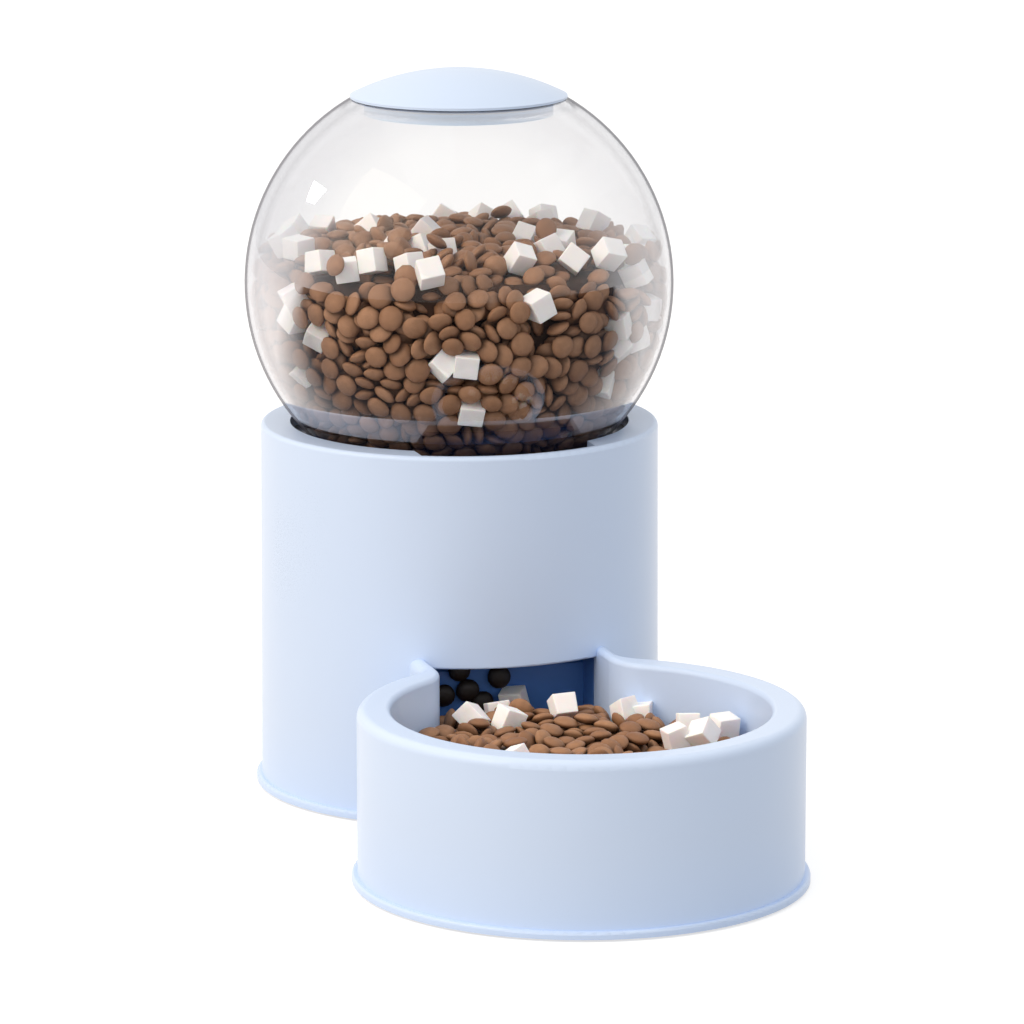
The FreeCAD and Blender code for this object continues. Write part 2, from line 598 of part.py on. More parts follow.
gasket = new_body("seat_gasket", TOWER_Y)
GASKET_RADIUS = "(%s - gasketGap)" % LEDGE_RADIUS
GASKET_INNER = "(%s - gasketWidth)" % GASKET_RADIUS
turned_profile(gasket, "gasket", [
    (GASKET_INNER, CUP_BOTTOM),
    (GASKET_RADIUS, CUP_BOTTOM),
    (GASKET_RADIUS, GASKET_TOP),
    (LEDGE_RADIUS + " - seatStep", GASKET_TOP, "right", SEAT_RADIUS),
    (GASKET_INNER, "%s - sqrt(%s^2 - %s^2)" % (GLOBE_HEIGHT, SEAT_RADIUS, GASKET_INNER)),
])

# Lid: dome, plug ring and seal
dome = new_body("lid_dome", TOWER_Y)
DOME_TOP = "(%s + %s)" % (DOME_HEIGHT, DOME_RADIUS)
DOME_INNER = "(%s - lidWall)" % DOME_RADIUS
turned_profile(dome, "dome", [
    ("0", DOME_TOP, "right", DOME_RADIUS),
    (LID_RADIUS, LID_BOTTOM + " + lidEdge"),
    (LID_RADIUS, LID_BOTTOM),
    ("sqrt(%s^2 - (%s - %s)^2)" % (DOME_INNER, LID_BOTTOM, DOME_HEIGHT), LID_BOTTOM, "left", DOME_INNER),
    ("0", DOME_TOP + " - lidWall"),
])


def under_dome(radius):
    """Height of the dome's underside at a radius."""
    return "(%s + sqrt(%s^2 - %s^2))" % (DOME_HEIGHT, DOME_INNER, radius)


plug = new_body("lid_plug", TOWER_Y)
PLUG_BOTTOM = "(%s - plugDepth)" % MOUTH_HEIGHT
SEAL_MIDDLE = "(%s - globeWall / 2)" % MOUTH_HEIGHT
turned_profile(plug, "plug", [
    (PLUG_RADIUS + " - plugWall", PLUG_BOTTOM),
    (PLUG_RADIUS, PLUG_BOTTOM),
    (PLUG_RADIUS, SEAL_MIDDLE + " - sealHeight / 2"),
    (PLUG_RADIUS + " - sealSink", SEAL_MIDDLE + " - sealHeight / 2"),
    (PLUG_RADIUS + " - sealSink", SEAL_MIDDLE + " + sealHeight / 2"),
    (PLUG_RADIUS, SEAL_MIDDLE + " + sealHeight / 2"),
    (PLUG_RADIUS, under_dome(PLUG_RADIUS), "left", DOME_INNER),
    (PLUG_RADIUS + " - plugWall", under_dome("(%s - plugWall)" % PLUG_RADIUS)),
])

seal = new_body("lid_seal", TOWER_Y)
SEAL_RADIUS = "(mouthRadius - sealGap)"
turned_profile(seal, "seal", [
    (PLUG_RADIUS + " - sealSink", SEAL_MIDDLE + " - sealHeight / 2"),
    (PLUG_RADIUS, SEAL_MIDDLE + " - sealHeight / 2"),
    (SEAL_RADIUS, SEAL_MIDDLE),
    (PLUG_RADIUS, SEAL_MIDDLE + " + sealHeight / 2"),
    (PLUG_RADIUS + " - sealSink", SEAL_MIDDLE + " + sealHeight / 2"),
])

doc.recompute()
for item in doc.Objects:
    if "Invalid" in item.State or "Error" in item.State:
        raise ValueError("%s: %s" % (item.Label, item.State))

sub_parts = [item for item in doc.Objects if item.isDerivedFrom("PartDesign::Body")]
os.makedirs("parts", exist_ok=True)
for item in sub_parts:
    if item.Shape.isNull() or not item.Shape.isValid():
        raise ValueError("bad shape: " + item.Label)
for item in sub_parts:
    item.Shape.exportStep(os.path.join("parts", item.Label + ".step"))
    box = item.Shape.optimalBoundingBox(False, False)
    print("%-14s solids %d  volume %9.0f mm3  x %.1f..%.1f  y %.1f..%.1f  z %.1f..%.1f" % (
        item.Label, len(item.Shape.Solids), item.Shape.Volume,
        box.XMin, box.XMax, box.YMin, box.YMax, box.ZMin, box.ZMax))
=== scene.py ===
import math

import bpy
import numpy as np
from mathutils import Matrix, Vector


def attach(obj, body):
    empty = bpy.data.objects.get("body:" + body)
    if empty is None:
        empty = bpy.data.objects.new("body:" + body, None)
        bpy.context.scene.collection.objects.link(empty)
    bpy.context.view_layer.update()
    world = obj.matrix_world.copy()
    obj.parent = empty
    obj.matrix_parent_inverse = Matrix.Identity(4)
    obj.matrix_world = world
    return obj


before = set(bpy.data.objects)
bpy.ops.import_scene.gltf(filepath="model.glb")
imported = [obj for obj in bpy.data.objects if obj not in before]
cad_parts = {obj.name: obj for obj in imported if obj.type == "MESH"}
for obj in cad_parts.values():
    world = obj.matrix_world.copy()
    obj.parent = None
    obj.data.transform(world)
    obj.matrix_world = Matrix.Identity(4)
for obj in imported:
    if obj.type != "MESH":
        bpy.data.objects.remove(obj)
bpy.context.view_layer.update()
for startupObject in ("Cube", "Light", "Camera"):
    if startupObject in bpy.data.objects:
        bpy.data.objects.remove(bpy.data.objects[startupObject])

# Camera, fitted to the photograph: metres and degrees
view = {
    "place": (-0.65942, -2.16301, 0.60408),
    "turn": -16.88,
    "tilt": 11.71,
    "lens": 194.613,
    "sensor": 36.0,
    "pixels": 1024,  # width and height of the photograph
}

# The feeder's own measures that the food needs, in metres
feeder = {
    "towerY": 0.0882,
    "bowlY": -0.0868,
    "ballZ": 0.218515,  # middle of the clear ball
    "ballInside": 0.090,
    "ballOutside": 0.092,
    "bowlInside": 0.0773,
    "bowlFloor": 0.023,
    "outletHalf": 0.0355,
    "outletY": 0.0018,  # the outlet's plane
    "backWallY": 0.0288,  # back wall of the drop, behind the outlet
    "play": 0.0003,  # what stays free between food and walls
}
ballMiddle = np.array((0.0, feeder["towerY"], feeder["ballZ"]))


class Wire:
    # One output of a node; maths on it adds Math nodes to the same finish
    def __init__(self, finish, socket):
        self.finish = finish
        self.socket = socket

    def maths(self, operation, *values):
        return self.finish.node("Math", {"operation": operation}, dict(enumerate(values)))

    def __add__(self, other):
        return self.maths("ADD", self, other)

    def __radd__(self, other):
        return self.maths("ADD", other, self)

    def __sub__(self, other):
        return self.maths("SUBTRACT", self, other)

    def __rsub__(self, other):
        return self.maths("SUBTRACT", other, self)

    def __mul__(self, other):
        return self.maths("MULTIPLY", self, other)

    def __rmul__(self, other):
        return self.maths("MULTIPLY", other, self)


class Finish:
    # The nodes of a material, or of the world
    def __init__(self, owner):
        self.owner = owner
        owner.use_nodes = True
        self.tree = owner.node_tree
        self.tree.nodes.clear()

    def node(self, kind, settings=None, sockets=None, out=0):
        made = self.tree.nodes.new("ShaderNode" + kind)
        for key, value in (settings or {}).items():
            if key == "stops":
                ramp = made.color_ramp
                while len(ramp.elements) < len(value):
                    ramp.elements.new(0.5)
                for element, (place, colour) in zip(ramp.elements, value):
                    element.position = place
                    element.color = colour
            else:
                setattr(made, key, value)
        for key, value in (sockets or {}).items():
            if isinstance(value, Wire):
                self.tree.links.new(value.socket, made.inputs[key])
            else:
                made.inputs[key].default_value = value
        return Wire(self, made.outputs[out])

    def noise(self, scale, detail=2.0, stretch=None):
        place = self.node("TexCoord", out="Object")
        if stretch:
            place = self.node("VectorMath", {"operation": "MULTIPLY"}, {0: place, 1: stretch})
        return self.node("TexNoise", {}, {"Vector": place, "Scale": scale, "Detail": detail}, out="Fac")

    def mixColour(self, factor, first, second):
        return self.node("Mix", {"data_type": "RGBA"}, {0: factor, 6: first, 7: second}, out=2)

    def bump(self, height, distance, strength):
        return self.node("Bump", {}, {"Strength": strength, "Distance": distance, "Height": height})

    def principled(self, sockets):
        return self.node("BsdfPrincipled", {}, sockets)

    def done(self, shader, end="OutputMaterial"):
        output = self.tree.nodes.new("ShaderNode" + end)
        self.tree.links.new(shader.socket, output.inputs["Surface"])
        return self.owner


def newFinish(name):
    return Finish(bpy.data.materials.new(name))


def paint(red, green, blue, brighter=1.0):
    # A colour as read off a screen, 0 to 255, as Blender's linear one
    def linear(value):
        share = value / 255
        return share / 12.92 if share <= 0.04045 else ((share + 0.055) / 1.055) ** 2.4
    return tuple(min(linear(value) * brighter, 1.0) for value in (red, green, blue)) + (1.0,)


# Moulded plastic and rubber: patterns in repeats to a metre, lengths in metres
plastic = {
    "cloud": 9.0,
    "grain": 2300.0,
    "grainDepth": 0.00002,
    "darkest": 0.975,  # the least and most of its colour, as its clouds vary it
    "lightest": 1.025,
    "shadeTintReach": 0.04,  # painted bounce light: recesses get a bluer colour as far as this from what faces them, for the blue light in their shade
    "ior": 1.43,
}
rubber = {
    "cloud": 60.0,
    "grain": 1600.0,
    "grainDepth": 0.00004,
    "darkest": 0.85,
    "lightest": 1.2,
    "ior": 1.52,
}


def cloudedColour(finish, cloud, colour, stuff):
    darker, lighter = paint(*colour, brighter=stuff["darkest"]), paint(*colour, brighter=stuff["lightest"])
    return finish.mixColour(cloud, darker, lighter)


def mouldedPlastic(name, colour, roughness=0.29, grain=1.0, shadeTint=None):
    finish = newFinish(name)
    cloud = finish.noise(plastic["cloud"], 3.0)
    fine = finish.noise(plastic["grain"], 2.0)
    tone = cloudedColour(finish, cloud, colour, plastic)
    # In recesses the colour turns bluer: painted bounce light, standing in for the blue light in their shade
    if shadeTint:
        reach = plastic["shadeTintReach"]
        openness = finish.node("AmbientOcclusion", {"samples": 4}, {"Distance": reach}, out="AO")
        tone = finish.mixColour(openness, paint(*shadeTint), tone)
    rough = roughness - 0.05 + cloud * 0.07 + fine * 0.03
    normal = finish.bump(fine, plastic["grainDepth"], 0.35 * grain)
    return finish.done(finish.principled({
        "Base Color": tone, "Roughness": rough, "Normal": normal, "IOR": plastic["ior"],
    }))


def softRubber(name, colour, roughness):
    finish = newFinish(name)
    cloud = finish.noise(rubber["cloud"], 4.0)
    fine = finish.noise(rubber["grain"], 3.0)
    tone = cloudedColour(finish, cloud, colour, rubber)
    return finish.done(finish.principled({
        "Base Color": tone, "Roughness": roughness + (fine - 0.5) * 0.12,
        "Normal": finish.bump(fine, rubber["grainDepth"], 0.4), "IOR": rubber["ior"],
    }))


# Clear plastic: what share of it mirrors, and the painted dark lines at its edge, which stand for shade and
# dark reflections there, by how far it turns from the eye
clear = {
    "veil": ((0.0, 0.0), (0.17, 0.04), (0.25, 0.12), (0.33, 0.33), (0.42, 0.49), (0.52, 0.57), (0.63, 0.63),
             (1.0, 0.70)),
    "edge": ((0.60, 0.0), (0.68, 0.17), (0.74, 0.05), (0.80, 0.05), (0.835, 0.25), (0.858, 0.9), (1.0, 1.0)),
    "outerFrom": 0.0912,  # what lies further than this from the ball's middle is its outer face
    "leftShare": 1.3,  # how much of the veil there is at the ball's left and right
    "rightShare": 0.78,
    "heights": (0.150, 0.250),  # and from this height to that
    "heightShares": ((0.0, 0.25), (0.12, 0.45), (0.25, 0.8), (1.0, 1.0)),
    "lipHeights": (0.2942, 0.2962),  # round the mouth it turns from glass to plain see-through here
    "tints": ((246, 246, 246), (249, 249, 249)),
    "mirrorColour": (230, 229, 232),
    "edgeShadeColour": (86, 84, 94),
    "passedColour": (248, 249, 250),  # what it leaves of light that goes through
    "ior": 1.25,
}


def greyStops(stops):
    return tuple((place, (grey, grey, grey, 1.0)) for place, grey in stops)


def clearPlastic(name):
    finish = newFinish(name)
    facing = finish.node("LayerWeight", {}, {"Blend": 0.5}, out="Facing")
    place = finish.node("TexCoord", out="Object")
    away = finish.node("VectorMath", {"operation": "DISTANCE"}, {0: place, 1: tuple(ballMiddle)}, out="Value")
    outer = away.maths("GREATER_THAN", away, clear["outerFrom"])
    outside = outer * (1.0 - finish.node("NewGeometry", out="Backfacing"))
    side = finish.node("SeparateXYZ", {}, {0: place}, out="X")
    high = finish.node("SeparateXYZ", {}, {0: place}, out="Z")
    half, left, right = feeder["ballInside"], clear["leftShare"], clear["rightShare"]
    leftToRight = finish.node("MapRange", {}, {0: side, 1: -half, 2: half, 3: left, 4: right})
    upright = finish.node("MapRange", {}, {0: high, 1: clear["heights"][0], 2: clear["heights"][1]})
    share = leftToRight * finish.node("ValToRGB", {"stops": greyStops(clear["heightShares"])}, {0: upright})
    veil = finish.node("ValToRGB", {"stops": greyStops(clear["veil"])}, {0: facing}) * outside * share
    edge = finish.node("ValToRGB", {"stops": greyStops(clear["edge"])}, {0: facing}) * outside
    tint = finish.mixColour(finish.noise(5.0, 2.0), *(paint(*colour) for colour in clear["tints"]))
    glass = finish.principled({
        "Base Color": tint, "Roughness": 0.0, "IOR": clear["ior"], "Transmission Weight": 1.0,
    })
    mirror = finish.node("BsdfGlossy", {}, {"Color": paint(*clear["mirrorColour"]), "Roughness": 0.0})
    # Painted shade: a grey surface mixed in at the silhouette draws the dark edge lines
    grey = finish.principled({"Base Color": paint(*clear["edgeShadeColour"]), "Roughness": 0.4})
    seeThrough = finish.node("BsdfTransparent", {}, {"Color": paint(*clear["passedColour"])})
    lip = finish.node("MapRange", {}, {0: high, 1: clear["lipHeights"][0], 2: clear["lipHeights"][1]})
    lipped = finish.node("MixShader", {}, {0: lip, 1: glass, 2: seeThrough})
    veiled = finish.node("MixShader", {}, {0: veil, 1: lipped, 2: mirror})
    edged = finish.node("MixShader", {}, {0: edge, 1: veiled, 2: grey})
    lightRay = finish.node("LightPath", out="Is Shadow Ray") + finish.node("LightPath", out="Is Diffuse Ray")
    return finish.done(finish.node("MixShader", {}, {0: lightRay, 1: edged, 2: seeThrough}))


steel = {
    "dark": (150, 152, 156),
    "light": (196, 198, 200),
    "brush": 420.0,
    "brushStretch": (1.0, 1.0, 0.15),  # its lines run upwards
    "brushDepth": 0.00003,
}


def zincSteel(name):
    finish = newFinish(name)
    brushed = finish.noise(steel["brush"], 4.0, steel["brushStretch"])
    tone = finish.mixColour(brushed, paint(*steel["dark"]), paint(*steel["light"]))
    return finish.done(finish.principled({
        "Base Color": tone, "Metallic": 1.0, "Roughness": 0.26 + brushed * 0.14,
        "Normal": finish.bump(brushed, steel["brushDepth"], 0.3),
    }))


# Food: patterns in repeats to a metre, lengths in metres
pelletLook = {
    "mottle": 380.0,
    "mottled": 0.6,  # how far the mottling takes its colour to the deep one
    "grain": 900.0,
    "grainDepth": 0.00018,
    "gapLight": 0.15,  # of the light on a pellet, what is left where a gap closes
    "lowLight": 0.25,  # and what is left below the lower of two heights
    "shade": 0.35,  # of the deep colour, what is seen where there is no light
}
cubeLook = {
    "colours": ((245, 243, 243), (252, 251, 252)),  # they differ from one to the next
    "mottle": 300.0,
    "mottled": 0.35,
    "mottleColour": (236, 230, 228),
    "grain": 1300.0,
    "grainDepth": 0.00012,
}
# Colours of the solid core under the loose food: painted shade, for the heap's unlit inside
coreShadeLook = {
    "colours": ((40, 24, 15), (78, 50, 33)),
    "mottle": 150.0,
}


def pelletFinish(name, light, dark, deep, gapShadeReach, shadedBelow=(-1.0, 0.0)):
    # Painted shade: near other pellets, within the given reach, it gets darker, and so it does between the
    # two heights, downwards
    finish = newFinish(name)
    each = finish.node("NewGeometry", out="Random Per Island")
    mottle = finish.noise(pelletLook["mottle"], 4.0)
    fine = finish.noise(pelletLook["grain"], 3.0)
    plain = finish.mixColour(each, paint(*dark), paint(*light))
    tone = finish.mixColour(mottle * pelletLook["mottled"], plain, paint(*deep))
    occlusion = {"samples": 6, "only_local": True}
    clearance = finish.node("AmbientOcclusion", occlusion, {"Distance": gapShadeReach}, out="AO")
    level = finish.node("SeparateXYZ", {}, {0: finish.node("TexCoord", out="Object")}, out="Z")
    (low, high), closed = shadedBelow, pelletLook["gapLight"]
    lit = finish.node("MapRange", {}, {0: level, 1: low, 2: high, 3: pelletLook["lowLight"], 4: 1.0})
    shade = paint(*(part * pelletLook["shade"] for part in deep))
    tone = finish.mixColour((clearance * (1 - closed) + closed) * lit, shade, tone)
    height = fine * 0.5 + mottle
    return finish.done(finish.principled({
        "Base Color": tone, "Roughness": 0.46 + fine * 0.16,
        "Normal": finish.bump(height, pelletLook["grainDepth"], 0.5), "Specular IOR Level": 0.5,
    }))


def cubeFinish():
    finish = newFinish("freeze_dried_cube")
    each = finish.node("NewGeometry", out="Random Per Island")
    mottle = finish.noise(cubeLook["mottle"], 4.0)
    fine = finish.noise(cubeLook["grain"], 3.0)
    plain = finish.mixColour(each, *(paint(*colour) for colour in cubeLook["colours"]))
    tone = finish.mixColour(mottle * cubeLook["mottled"], plain, paint(*cubeLook["mottleColour"]))
    return finish.done(finish.principled({
        "Base Color": tone, "Roughness": 0.62 + fine * 0.2,
        "Normal": finish.bump(fine + mottle * 0.6, cubeLook["grainDepth"], 0.5),
        "Specular IOR Level": 0.3, "Subsurface Weight": 0.25, "Subsurface Scale": 0.003,
    }))


def coreShadeFinish():
    finish = newFinish("food_depth_shade")
    mottle = finish.noise(coreShadeLook["mottle"], 3.0)
    tone = finish.mixColour(mottle, *(paint(*colour) for colour in coreShadeLook["colours"]))
    return finish.done(finish.principled({"Base Color": tone, "Roughness": 0.9}))


nodeFinish = {
    "base_shell": mouldedPlastic("pale_blue_shell", (197, 214, 240), shadeTint=(194, 218, 255)),
    # A little darker than the shell's plastic: painted shade, so its top under the key light doesn't clip
    "lid_dome": mouldedPlastic("pale_blue_lid", (191, 208, 233), 0.29),
    # Lighter and bluer than the shell's plastic: painted light, for the plug in the shade under the lid
    "lid_plug": mouldedPlastic("pale_blue_plug_painted_light", (195, 223, 255), 0.35),
    "base_plate": mouldedPlastic("grained_base_plate", (196, 208, 228), 0.55, 3.0),
    "food_chute": mouldedPlastic("deep_blue_chute", (75, 123, 196), 0.32),
    "hopper_globe": clearPlastic("clear_ball"),
    "outlet_collar": mouldedPlastic("white_collar", (226, 228, 231), 0.45, 2.0),
    # Black rubber, tinted blue: painted light, for the blue light in the shaded gap round the ball's foot
    "seat_gasket": softRubber("black_gasket_blue_shade", (30, 42, 78), 0.2),
    "lid_seal": softRubber("milky_seal", (205, 211, 218), 0.45),
    "tower_pads": softRubber("grey_pad", (88, 94, 104), 0.8),
}
nodeFinish["bowl_pads"] = nodeFinish["tower_pads"]
for screws in ("chute_screws", "tower_screws", "bowl_screws"):
    nodeFinish[screws] = nodeFinish.get("chute_screws") or zincSteel("zinc_plated_steel")
for node, material in nodeFinish.items():
    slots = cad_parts[node].data.materials
    slots.clear()
    slots.append(material)
print("finishes on", len(nodeFinish), "nodes")

turn, tilt = math.radians(view["turn"]), math.radians(view["tilt"])
ahead = np.array((-math.sin(turn) * math.cos(tilt), math.cos(turn) * math.cos(tilt), -math.sin(tilt)))
across = np.array((math.cos(turn), math.sin(turn), 0.0))
upward = np.cross(across, ahead)
eye = np.array(view["place"])


def sight(x, y):
    # The direction in which a pixel of the photograph looks
    middle = view["pixels"] / 2
    depth = view["pixels"] * view["lens"] / view["sensor"]
    line = ahead * depth + across * (x - middle) - upward * (y - middle)
    return line / np.linalg.norm(line)


def onLevel(x, y, height):
    line = sight(x, y)
    return eye + line * (height - eye[2]) / line[2]


def onBall(x, y, radius):
    # Where a pixel meets the near side of a ball about the clear ball's middle
    line = sight(x, y)
    toMiddle = ballMiddle - eye
    along = toMiddle @ line
    off = math.sqrt(max(toMiddle @ toMiddle - along * along, 0.0))
    if off > radius:
        near = eye + line * along
        return ballMiddle + (near - ballMiddle) * radius / off
    return eye + line * (along - math.sqrt(radius * radius - off * off))


def insideBall(x, y, height, radius):
    # On a level in the ball, or on its near or far wall where the pixel looks past that level
    place = onLevel(x, y, height)
    away = place - ballMiddle
    if np.linalg.norm(away) < radius:
        return place
    if away @ ahead < 0:
        return onBall(x, y, radius)
    acrossLevel = math.sqrt(radius * radius - away[2] * away[2])
    away[:2] *= acrossLevel / np.linalg.norm(away[:2])
    return ballMiddle + away


def meshPiece(name, points, faces, material, body):
    mesh = bpy.data.meshes.new(name)
    mesh.from_pydata(points, [], faces)
    mesh.polygons.foreach_set("use_smooth", [True] * len(mesh.polygons))
    mesh.update()
    made = bpy.data.objects.new(name, mesh)
    bpy.context.scene.collection.objects.link(made)
    made.data.materials.append(material)
    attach(made, body)
    return made


# Dry food: lentil-shaped pellets and small cubes, in metres
food = {
    "width": 0.0100,
    "thickness": 0.0043,
    "faceFlat": 3.0,  # how flat the faces are, 2 being a dome
    "rimRound": 0.74,  # how round the rim is, 1 being a sharp edge and 0.5 a ball's
    "waves": 0.018,  # how uneven a pellet is, as a share of its size
    "widths": (0.9, 1.09),  # and how pellets differ, the least and the most
    "flatness": (0.92, 1.08),
    "cube": 0.0095,
    "cubeSides": (0.93, 1.07),
    "cubeSlant": 0.06,
    "cubeRoom": 0.62,  # of a cube's size, what lies between its middle and a wall
    "cubeBall": 1.22,  # and the width of the ball that pellets touch in its place
    "layer": 0.026,  # depth of loose pieces that are settled
    "kept": 0.016,  # depth of loose pieces that stay, over a core painted dark as the heap's inner shade
    "perPiece": 3.95e-7,  # cubic metres of heap to a pellet
    "tries": 40000,  # places tried to measure a heap
    "offWall": 0.002,  # how far from walls and below the level pellets start
    "offTop": 0.0015,
    "strayed": 0.004,  # and how much further out they may end
    "steps": 520,
    "quickSteps": 160,
    "gravity": 0.00003,
    "fastest": 0.0006,  # furthest that a piece goes in a step
    "slowing": 0.72,
    "hurry": 0.35,  # how much of a push or a turn it takes up in a step
    "wallPush": 1.5,
    "pairsEvery": 12,  # steps between searches for neighbours
    "pairReach": 1.25,  # times the widest piece, how far they are searched for
}


def pairsNear(p, reach):
    # Every pair of pieces nearer than reach, found through a grid of cells
    cell = np.floor(p / reach).astype(np.int64)
    cell -= cell.min(0) - 1
    size = cell.max(0) + 2
    key = (cell[:, 0] * size[1] + cell[:, 1]) * size[2] + cell[:, 2]
    order = np.argsort(key, kind="stable")
    ranked = key[order]
    first, second = [], []
    for dx in (-1, 0, 1):
        for dy in (-1, 0, 1):
            for dz in (-1, 0, 1):
                step = (dx * size[1] + dy) * size[2] + dz
                if step < 0:
                    continue
                low = np.searchsorted(ranked, key + step, "left")
                count = np.searchsorted(ranked, key + step, "right") - low
                a = np.repeat(np.arange(len(p)), count)
                start = np.repeat(low - np.concatenate(([0], np.cumsum(count)[:-1])), count)
                b = order[start + np.arange(count.sum())]
                if step == 0:
                    a, b = a[a < b], b[a < b]
                first.append(a)
                second.append(b)
    a, b = np.concatenate(first), np.concatenate(second)
    near = ((p[a] - p[b]) ** 2).sum(1) < reach * reach
    return a[near], b[near]


def addUp(index, values, count):
    return np.stack([np.bincount(index, values[:, k], count) for k in range(3)], 1)


def settle(p, n, wide, flat, pinned, walls, steps):
    # Pushes and turns flat round pieces, which touch as ellipsoids do, until they lie side by side.
    # p places, n axes, wide widths, flat thickness over width, walls gives (depth inside, inward) pairs
    count = len(p)
    chi = (flat ** 2 - 1) / (flat ** 2 + 1)
    ball = chi > -0.05
    speed, spin = np.zeros_like(p), np.zeros_like(n)
    for step in range(steps):
        if step % food["pairsEvery"] == 0:
            a, b = pairsNear(p, wide.max() * food["pairReach"])
            size = (wide[a] + wide[b]) / 2
            mixed = ball[a] ^ ball[b]
            x = np.where(mixed, 0.0, -np.sqrt(chi[a] * chi[b]))
            disc = np.where(ball[a], b, a)[mixed]
            other = np.where(ball[a], a, b)[mixed]
        apart = p[b] - p[a]
        distance = np.sqrt((apart * apart).sum(1)) + 1e-12
        r = apart / distance[:, None]
        ra, rb, c = (r * n[a]).sum(1), (r * n[b]).sum(1), (n[a] * n[b]).sum(1)
        plus, minus = ra + rb, ra - rb
        shape = plus * plus / (1 + x * c) + minus * minus / (1 - x * c)
        touch = size / np.sqrt(1 - x / 2 * shape)
        lean = (r[mixed] * n[disc]).sum(1)
        touch[mixed] = wide[other] / 2 + wide[disc] / 2 * np.sqrt(1 - lean ** 2 * (1 - flat[disc] ** 2))
        over = touch - distance
        hit = over > 0
        ha, hb, o, hr, hx, hc = a[hit], b[hit], over[hit], r[hit], x[hit], c[hit]
        g = touch[hit] ** 3 / size[hit] ** 2 * hx / 4 * o
        qa, qb = 2 * plus[hit] / (1 + hx * hc), 2 * minus[hit] / (1 - hx * hc)
        twist = hx * (minus[hit] ** 2 / (1 - hx * hc) ** 2 - plus[hit] ** 2 / (1 + hx * hc) ** 2)
        slide = g[:, None] * (qa[:, None] * (n[ha] + n[hb]) + qb[:, None] * (n[ha] - n[hb]))
        slide -= (slide * hr).sum(1)[:, None] * hr
        push = hr * o[:, None] - slide / distance[hit][:, None]
        force = addUp(hb, push, count) - addUp(ha, push, count)
        torque = addUp(ha, -g[:, None] * ((qa + qb)[:, None] * hr + twist[:, None] * n[hb]), count)
        torque += addUp(hb, -g[:, None] * ((qa - qb)[:, None] * hr + twist[:, None] * n[ha]), count)
        for depth, inward in walls(p):
            s = (n * inward).sum(1)
            half = wide / 2 * np.sqrt(np.maximum(1 - s * s * (1 - flat ** 2), 1e-6))
            pressed = np.maximum(half - depth, 0)
            force += inward * (pressed * food["wallPush"])[:, None]
            torque -= (pressed * wide ** 2 / 4 * (flat ** 2 - 1) * s / half)[:, None] * inward
        force[:, 2] -= food["gravity"]
        torque /= (wide ** 2 / 12)[:, None]
        force[pinned] = 0
        torque[pinned] = 0
        speed = speed * food["slowing"] + force * food["hurry"]
        spin = spin * food["slowing"] + torque * food["hurry"]
        pace = np.sqrt((speed * speed).sum(1))
        speed *= np.minimum(1, food["fastest"] / (pace + 1e-12))[:, None]
        p = p + speed
        n = n + spin - (spin * n).sum(1)[:, None] * n
        n /= np.sqrt((n * n).sum(1))[:, None]
    print("  settled", count, "pieces; mean overlap %.3f mm" % (o.mean() * 1000))
    return p, n


def heap(rng, inside, low, high, cubes, walls, volume, lie):
    # Fills a space with loose pellets round the cubes, which stay where they are.
    # inside tells whether a place is in it, walls gives its sides and lie the pellets' first axes
    count = int(volume / food["perPiece"])
    places = []
    while len(places) < count:
        tried = rng.uniform(low, high)
        if inside(tried):
            places.append(tried)
    p = np.concatenate([np.array(cubes).reshape(-1, 3), np.array(places)])
    n = lie(p)
    n /= np.linalg.norm(n, axis=1)[:, None]
    number = len(cubes)
    wide = food["width"] * rng.uniform(*food["widths"], len(p))
    flat = food["thickness"] / food["width"] * rng.uniform(*food["flatness"], len(p))
    wide[:number] = food["cube"] * food["cubeBall"]
    flat[:number] = 1.0
    pinned = np.arange(len(p)) < number
    p, n = settle(p, n, wide, flat, pinned, walls, food["steps"])
    stayed = np.array([inside(q, food["strayed"]) for q in p]) & ~pinned
    return p[stayed], n[stayed], wide[stayed], flat[stayed]


def lentil(around, rings):
    # A pellet of width and thickness 1
    points = [(0.0, 0.0, 0.5)]
    for ring in range(1, rings):
        angle = math.pi * ring / rings
        radius = 0.5 * math.sin(angle)
        height = 0.5 * (1 - math.sin(angle) ** food["faceFlat"]) ** food["rimRound"]
        height = math.copysign(height, math.cos(angle))
        for k in range(around):
            turned = 2 * math.pi * k / around
            points.append((radius * math.cos(turned), radius * math.sin(turned), height))
    points.append((0.0, 0.0, -0.5))
    faces = []
    for k in range(around):
        after = (k + 1) % around
        faces.append((0, 1 + k, 1 + after))
        for ring in range(rings - 2):
            upper = 1 + ring * around
            lower = upper + around
            faces.append((upper + k, lower + k, lower + after, upper + after))
        last = 1 + (rings - 2) * around
        faces.append((last + k, len(points) - 1, last + after))
    return np.array(points), faces


def pelletPiece(name, rng, p, n, wide, flat, template, material, body):
    shape, faces = template
    turned = np.arctan2(shape[:, 1], shape[:, 0])
    radius = np.hypot(shape[:, 0], shape[:, 1])
    points, allFaces = [], []
    for k in range(len(p)):
        side = np.cross(n[k], rng.normal(size=3))
        side /= np.linalg.norm(side)
        basis = np.stack([side, np.cross(n[k], side), n[k]])
        waves = rng.normal(size=4) * food["waves"]
        phase = rng.uniform(0, 2 * math.pi, 4)
        swell = 1 + waves[0] * np.sin(2 * turned + phase[0]) + waves[1] * np.sin(3 * turned + phase[1])
        local = shape * wide[k]
        local[:, :2] *= swell[:, None]
        local[:, 2] *= flat[k] * (1 + waves[2] * 2 * np.cos(turned + phase[2]) * radius)
        local[:, 2] += wide[k] * waves[3] * 2 * radius ** 2 * np.cos(2 * turned + phase[3])
        points.append(local @ basis + p[k])
        start = k * len(shape)
        allFaces += [tuple(start + v for v in face) for face in faces]
    return meshPiece(name, np.concatenate(points).tolist(), allFaces, material, body)


